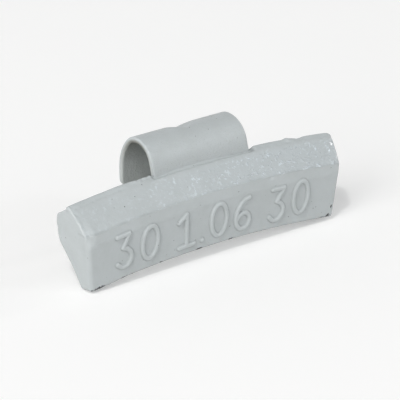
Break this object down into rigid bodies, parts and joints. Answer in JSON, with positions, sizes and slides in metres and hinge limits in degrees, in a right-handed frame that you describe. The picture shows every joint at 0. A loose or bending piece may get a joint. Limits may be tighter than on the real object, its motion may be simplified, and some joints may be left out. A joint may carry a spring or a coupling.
{
  "type": "wheel balance weight",
  "caption": "Grey-coated cast lead clip-on wheel balance weight, curved to the rim, with a bent spring-steel clip that hooks over the rim flange.",
  "frame": {"origin": "centre of the clip's main bend, midway along the clip, where the edge of the rim flange sits", "axes": "+X along the rim, parallel to the chord of the casting; +Y inboard across the rim flange, from the lettered front face towards the clip's free leg; +Z radially outward from the wheel's axis"},
  "size_m": [0.0443, 0.0125, 0.0169],
  "materials": {
    "casting_coat": "satin pale grey coat over cast lead, with a fine orange peel",
    "clip_coat": "satin pale grey coat over spring steel, smoother than the casting's"
  },
  "bodies": {
    "root": {"lead_casting": "casting_coat", "spring_clip": "clip_coat"}
  },
  "joints": []
}
